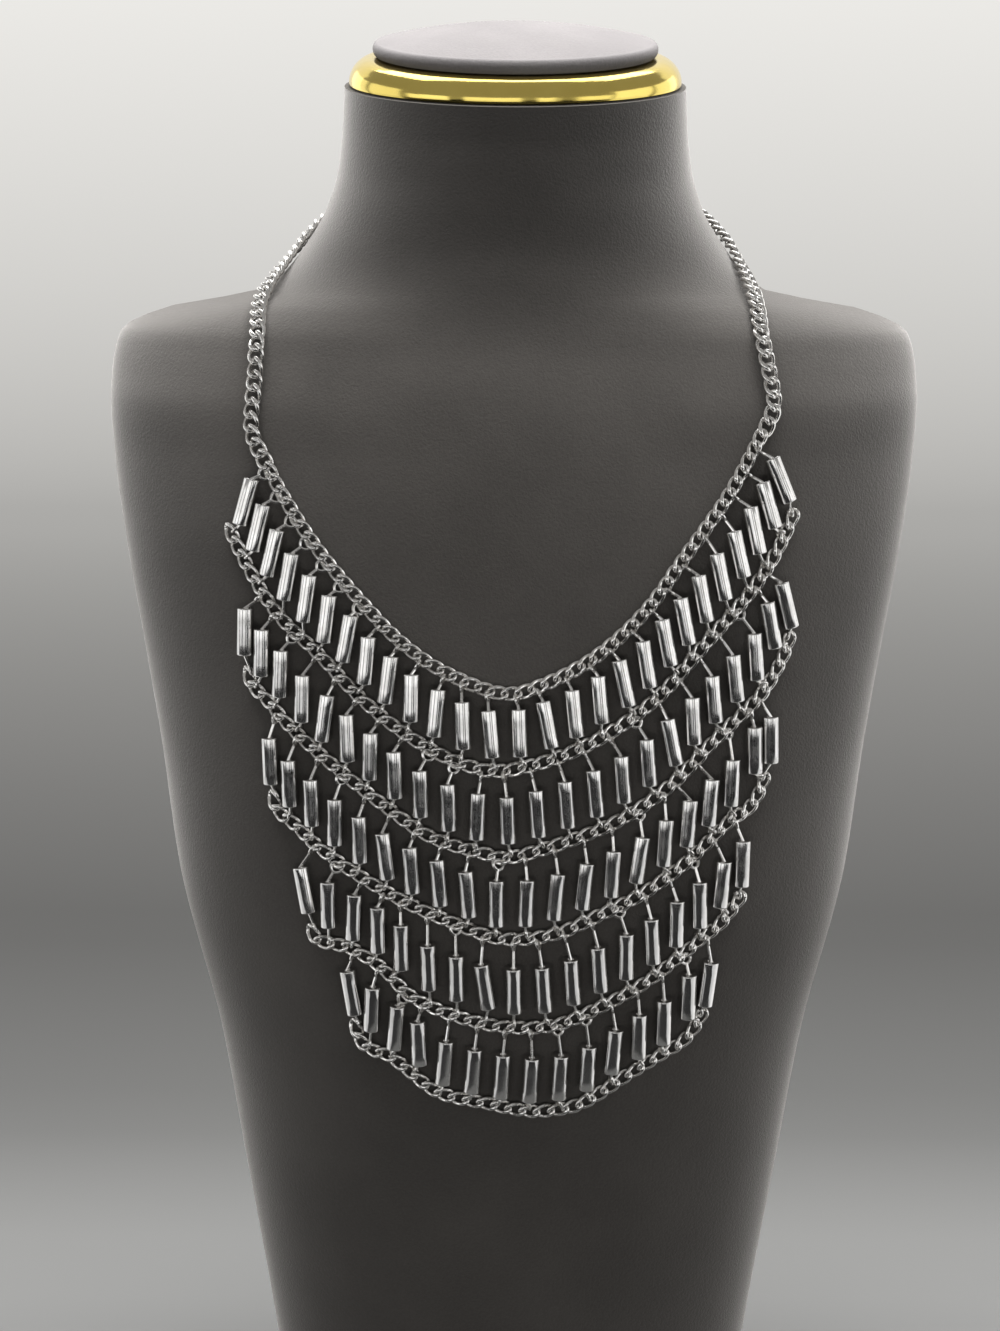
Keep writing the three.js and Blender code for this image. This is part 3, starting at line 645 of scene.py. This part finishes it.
# a wire eye from the bead's end round the near wire of a link, with the straight pin that carries it
def addEye(batch, end, link, length, width, turn):
    point, along, away, across = link
    toward = across if across @ (end - point) > 0 else -across
    shift = float(np.clip((end - point) @ along, -bib["hookReach"], bib["hookReach"]))
    held = point + along * shift + toward * bib["linkHalf"] * (1 - (shift / bib["linkCurve"]) ** 2)
    reach = unit(end - held)
    far = held - reach * (bib["linkWire"] + bib["pinWire"]) / 2
    length = min(length, np.linalg.norm(end - far) - bib["leastStem"])
    neck = far + reach * length
    side = unit(np.cross(reach, away))
    broad = side * math.cos(turn) + np.cross(side, reach) * math.sin(turn)
    u = np.linspace(bib["eyeClose"], 2 * np.pi - bib["eyeClose"], 26)
    outward = np.sin(u) * np.sin(u / 2) ** bib["eyeWaist"] / bib["eyeSwell"] * width / 2
    upward = length * (1 - np.cos(u)) / 2
    loop = neck + outward[:, None] * broad - upward[:, None] * reach
    flat = np.broadcast_to(np.cross(broad, reach), loop.shape)
    batch.add(*wire(loop, flat, bib["pinWire"] / 2, bib["pinSides"]))
    stem = np.linspace(neck - reach * bib["inEye"], end + reach * bib["inBead"], 4)
    flat = np.broadcast_to(side, stem.shape)
    batch.add(*wire(stem, flat, bib["pinWire"] / 2 * bib["stemSwell"], bib["pinSides"]))


# the beads whose upper eye is seen open, row by row
openEyes = [range(0, 7), (2, 8, 9, 16, 21), (3, 9, 14, 18), (1, 6, 12, 15), (2, 8, 9, 13)]


def makeRow(row):
    beads, pins, links = Batch(), Batch(), Batch()
    node = f"bead_row_{row + 1}"
    upperLink = lowerLink = -1
    for index in range(beadCounts[row]):
        top, bottom = beadEnds(row, index)
        up = unit(top - bottom)
        hang = unit(up + (0, 0, 1))
        upperLink = nearestLink(row, top, hang, upperLink)
        lowerLink = nearestLink(row + 1, bottom, hang, lowerLink)
        upper, lower = linkFrame(row, upperLink), linkFrame(row + 1, lowerLink)
        right = unit(np.cross(upper[2], up))
        spin = np.array([right, np.cross(up, right), up])
        points, quads, caps = beadShape
        beads.add((top + bottom) / 2 + points @ spin, quads, caps)
        seenOpen = index in openEyes[row]
        turn = bib["openTurn"] if seenOpen else bib["eyeTurn"]
        turn = math.radians(turn + dice.uniform(*bib["upperTurns"]))
        wide = bib["eyeWidth"] * (bib["openWidth"] if seenOpen else 1) * dice.uniform(*bib["widths"])
        addEye(pins, top, upper, bib["eyeLength"], wide, turn)
        turn = math.radians(bib["eyeTurn"] + dice.uniform(*bib["lowerTurns"]))
        wide = bib["lowerEyeWidth"] * dice.uniform(*bib["widths"])
        addEye(pins, bottom, lower, bib["lowerEyeLength"], wide, turn)
    makeChain(row, links)
    beads.piece(f"{node}_beads", beadSilver, "necklace_silver", node)
    pins.piece(f"{node}_pins", pinSilver, "necklace_silver", node)
    links.piece(f"{node}_chain", chainSilver, "necklace_silver", node)
    print(node, "made")


def makeBottomChain():
    links = Batch()
    makeChain(len(strands) - 1, links)
    links.piece("bottom_chain_links", chainSilver, "necklace_silver", "bottom_chain")
    print("bottom chain made")


for row in range(len(strands) - 1):
    makeRow(row)
makeBottomChain()

# the chain that goes round behind the neck, and the clasp there
nape = {
    "ridgeRise": 0.325, "rise": 0.674, "room": 0.7, "thickness": 2.1, "start": 0.6,
    "pitch": 3.5, "half": 1.74, "extra": 0.78, "wire": 1.14, "roll": 7,
    "claspLength": 12, "claspDiameter": 4.6, "claspSides": 36,
    # the rings at the clasp's ends: how far out, how large and how thick
    "ringPlace": 0.7, "ringRadius": 1.1, "ringWire": 0.35, "ringSteps": 24,
    # turn as a share of the way from the bib's end to the clasp, height from 0 at the bib's end to 1 at the
    # ridge of the shoulder and 2 at the clasp, and the room under the chain as a share of "room"
    "left": [(0.016, 0.204, 1.1), (0.014, 0.499, 1.18), (0.022, 0.8, 1.15), (0.153, 1, 1.76),
             (0.386, 1.389, 0.86), (0.524, 1.646, 1.8), (0.654, 1.805, 1.17), (0.794, 1.891, 1.02),
             (0.912, 1.952, 0.93)],
    "right": [(0.009, 0.16, 1.05), (0.009, 0.327, 1.06), (0.006, 0.733, 1.17), (0.119, 1, 1.78),
              (0.3, 1.308, 1.29), (0.411, 1.513, 0.86), (0.533, 1.715, 1.46), (0.657, 1.838, 1.01),
              (0.797, 1.908, 1.17), (0.916, 1.963, 0.92)],
}

ridgeHeight = bust["shoulderHeight"] + nape["ridgeRise"] * bust["neckRise"]
napeHeight = bust["shoulderHeight"] + nape["rise"] * bust["neckRise"]
claspLift = nape["room"] + nape["claspDiameter"] / 2
claspTurn = math.degrees(math.asin((nape["claspLength"] / 2 + 2 * bust["gap"])
                                   / (widthAt(napeHeight) + claspLift)))


def makeNeckChain(side, direction):
    bibEnd = chainLines[0].at(0 if direction < 0 else chainLines[0].length)
    start = bibEnd[0] + bibEnd[1] * direction * nape["start"]
    startTurn, endTurn = frontTurn(start[0], start[2]), direction * (180 - claspTurn)
    places = [(startTurn, start[2], bust["gap"])]
    for turn, rise, room in nape[side]:
        height = float(np.interp(rise, [0, 1, 2], [start[2], ridgeHeight, napeHeight]))
        places.append((startTurn + (endTurn - startTurn) * turn, height, room * nape["room"]))
    places.append((endTurn, napeHeight, nape["room"]))
    places = np.array(places) + (0, 0, nape["thickness"] / 2)
    shares = np.linspace(0, 1, bib["routeSteps"])
    points = smoothRoute(liftedPoint(places[:, 0], places[:, 1], places[:, 2]), shares)
    route = smoothRoute(places, shares)
    normals = skinNormal(route[:, 0], route[:, 1])
    line = LaidLine(np.concatenate([bibEnd[0][None], points]), np.concatenate([bibEnd[2][None], normals]))
    count = round(line.length / nape["pitch"])
    batch = Batch()
    for link in range(count):
        addLink(batch, line.at((link + 0.5) * line.length / count), line.length / count, nape["half"],
                nape["extra"], nape["wire"], dice.uniform(-nape["roll"], nape["roll"]))
    batch.piece(f"neck_chain_{side}_links", chainSilver, "necklace_silver", f"neck_chain_{side}")


# a plain barrel, whose ends narrow to a cap and have a groove behind it, with a ring at each end
def makeClasp():
    half, radius = nape["claspLength"] / 2, nape["claspDiameter"] / 2
    end = [(0.5, half), (radius * 0.5, half), (radius * 0.62, half - 0.3), (radius * 0.66, half - 0.9),
           (radius * 0.94, half - 1.5), (radius, half - 1.9), (radius, half - 2.6),
           (radius - 0.2, half - 2.8), (radius - 0.2, half - 3.1), (radius, half - 3.3)]
    profile = [(r, -z) for r, z in end] + end[::-1]
    points, quads, caps = turned(profile, nape["claspSides"])
    batch = Batch()
    centre = liftedPoint(np.array(180.0), np.array(napeHeight), claspLift)
    batch.add(centre + points[:, [2, 0, 1]], quads, caps)
    t = np.linspace(0, 2 * np.pi, nape["ringSteps"], endpoint=False)
    circle = nape["ringRadius"] * np.stack([np.cos(t), np.zeros_like(t), np.sin(t)], axis=-1)
    for direction in (-1, 1):
        middle = centre + (direction * (half + nape["ringPlace"]), 0, 0)
        batch.add(*wire(middle + circle, circle, nape["ringWire"], 8, closed=True))
    batch.piece("clasp_barrel", chainSilver, "necklace_silver", "clasp")


makeNeckChain("left", -1)
makeNeckChain("right", 1)
makeClasp()
print("neck chain and clasp made")

# floor, backdrop and light, in metres
studio = {
    "front": -1.2, "back": 2.2, "bend": 0.5, "top": 2.2, "halfWidth": 2.6,
    "airTint": (1, 0.985, 0.96), "airStrength": 0.28,
    # by distance from the front edge of the floor: the grey of the paper, painted shade that is dark in front
    # and behind and lightest round the bust's foot, and its own glow, painted light which gives the backdrop
    # its even fade
    "paintedShadePaper": [(0.0, 0.05), (1.1, 0.05), (1.2, 0.13), (1.3, 0.13), (1.44, 0.06), (1.7, 0.02), (4.6, 0.02)],
    "glow": [(0.0, 0.0), (1.3, 0.0), (1.44, 0.04), (1.7, 0.09), (2.1, 0.19), (3.0, 0.39), (3.35, 0.63),
             (3.7, 0.85), (4.6, 0.93)],
}


# one sheet of paper: the floor, a bend and the wall behind
def makeSweep():
    bend = studio["bend"]
    floor = [(y, 0.0) for y in np.linspace(studio["front"], studio["back"] - bend, 60)]
    curve = [(studio["back"] - bend + bend * math.sin(a), bend - bend * math.cos(a))
             for a in np.linspace(0, math.pi / 2, 24)[1:]]
    wall = [(studio["back"], z) for z in np.linspace(bend, studio["top"], 12)[1:]]
    line = np.array(floor + curve + wall)
    run = np.concatenate([[0], np.cumsum(np.linalg.norm(np.diff(line, axis=0), axis=1))])
    half = studio["halfWidth"]
    points = [(x, y, z) for y, z in line for x in (-half, half)]
    faces = [(2 * i, 2 * i + 1, 2 * i + 3, 2 * i + 2) for i in range(len(line) - 1)]
    mesh = bpy.data.meshes.new("sweep")
    mesh.from_pydata(points, [], faces)
    for name in ("paintedShadePaper", "glow"):
        places, greys = zip(*studio[name])
        shade = mesh.attributes.new(name, "FLOAT", "POINT")
        shade.data.foreach_set("value", np.repeat(np.interp(run, places, greys), 2))
    mesh.polygons.foreach_set("use_smooth", [True] * len(faces))
    sweep = bpy.data.objects.new("sweep", mesh)
    bpy.context.scene.collection.objects.link(sweep)
    paintedShadePaper = Finish("sweepPaper", {"Roughness": 0.9, "Specular IOR Level": 0.1, "Emission Strength": 1.0})
    # the paper's grey carries painted shade, and its glow is painted light
    grey = paintedShadePaper.node("ShaderNodeAttribute", {"attribute_name": "paintedShadePaper"}, output=2)
    glow = paintedShadePaper.node("ShaderNodeAttribute", {"attribute_name": "glow"}, output=2)
    paintedShadePaper.set(paintedShadePaper.shader, {"Base Color": paintedShadePaper.blend(grey, (0, 0, 0), (1, 1, 0.98)),
                             "Emission Color": paintedShadePaper.blend(glow, (0, 0, 0), (1, 0.985, 0.95))})
    mesh.materials.append(paintedShadePaper.material)


# a soft light that the camera doesn't see; a "fill" isn't seen in the polished metal, and a "shine" is seen
# only there
def addSoftbox(name, place, aim, size, watts, use="both"):
    lamp = bpy.data.lights.new(name, "AREA")
    lamp.shape = "RECTANGLE"
    lamp.size, lamp.size_y = size
    lamp.energy = watts
    box = bpy.data.objects.new(name, lamp)
    box.location = place
    box.rotation_euler = (Vector(aim) - Vector(place)).to_track_quat("-Z", "Y").to_euler()
    box.visible_camera = False
    box.visible_glossy = use != "fill"
    box.visible_diffuse = use != "shine"
    bpy.context.scene.collection.objects.link(box)


# a black flag on the floor in front, seen only in the polished metal
def addFlag(turns, near, far, height=0.012, steps=30):
    angles = np.radians(np.linspace(*turns, steps))
    points = [(r * math.sin(a), -r * math.cos(a), height) for r in (near, far) for a in angles]
    faces = [(i, i + 1, i + 1 + steps, i + steps) for i in range(steps - 1)]
    mesh = bpy.data.meshes.new("floor_flag")
    mesh.from_pydata(points, [], faces)
    mesh.materials.append(Finish("flagCloth", {"Base Color": (0.01, 0.01, 0.01), "Roughness": 1.0,
                                               "Specular IOR Level": 0.0}).material)
    flag = bpy.data.objects.new("floor_flag", mesh)
    flag.visible_camera = False
    flag.visible_diffuse = False
    flag.visible_shadow = False
    bpy.context.scene.collection.objects.link(flag)


makeSweep()
addFlag((-76, 62), 0.24, 4.0)
addSoftbox("topFill", (0.0, 0.06, 1.15), (0, 0, 0.25), (1.0, 0.7), 46, "fill")
addSoftbox("lowFill", (0.0, -0.9, 0.1), (0, 0, 0.08), (0.9, 0.2), 3.0, "fill")
addSoftbox("rightFill", (0.8, -0.12, 0.34), (0, 0, 0.2), (0.45, 0.66), 1.2, "fill")
addSoftbox("leftFill", (-0.8, -0.1, 0.34), (0, 0, 0.2), (0.3, 0.66), 0.4, "fill")

# Cards that only the metal sees: turn from the front, distance, height of the middle, width, height and
# brightness. Those in front leave narrow dark gaps between them.
cards = [
    (84, 0.8, 0.33, 0.5, 0.66, 0.9), (124, 0.8, 0.33, 0.52, 0.66, 0.9),
    (-97, 0.8, 0.33, 0.48, 0.66, 0.75), (-134, 0.8, 0.33, 0.46, 0.66, 0.75),
    (-58, 1.5, 0.3, 0.84, 0.52, 0.95), (-14, 1.5, 0.3, 1.0, 0.52, 0.95),
    (20, 1.5, 0.3, 0.3, 0.52, 0.95), (52, 1.5, 0.3, 0.7, 0.52, 0.95),
]
for turn, away, middle, wide, tall, bright in cards:
    place = (away * math.sin(math.radians(turn)), -away * math.cos(math.radians(turn)), middle)
    addSoftbox("card", place, (0, 0, middle), (wide, tall), math.pi * wide * tall * bright, "shine")
# one overhead towards the back, and one on the floor at each side
addSoftbox("topCard", (0, 0.42, 1.1), (0, 0, 0.2), (0.9, 0.56), 5.5, "shine")
addSoftbox("floorCardRight", (0.46, 0.0, 0.014), (0.46, 0.0, 1), (0.5, 0.9), 0.9, "shine")
addSoftbox("floorCardLeft", (-0.46, 0.1, 0.014), (-0.46, 0.1, 1), (0.5, 0.9), 0.8, "shine")

world = bpy.data.worlds.new("studioAir")
world.use_nodes = True
air = world.node_tree.nodes["Background"].inputs
air["Color"].default_value = (*studio["airTint"], 1)
air["Strength"].default_value = studio["airStrength"]
bpy.context.scene.world = world
bpy.context.scene.view_settings.view_transform = "Standard"
print("studio made")
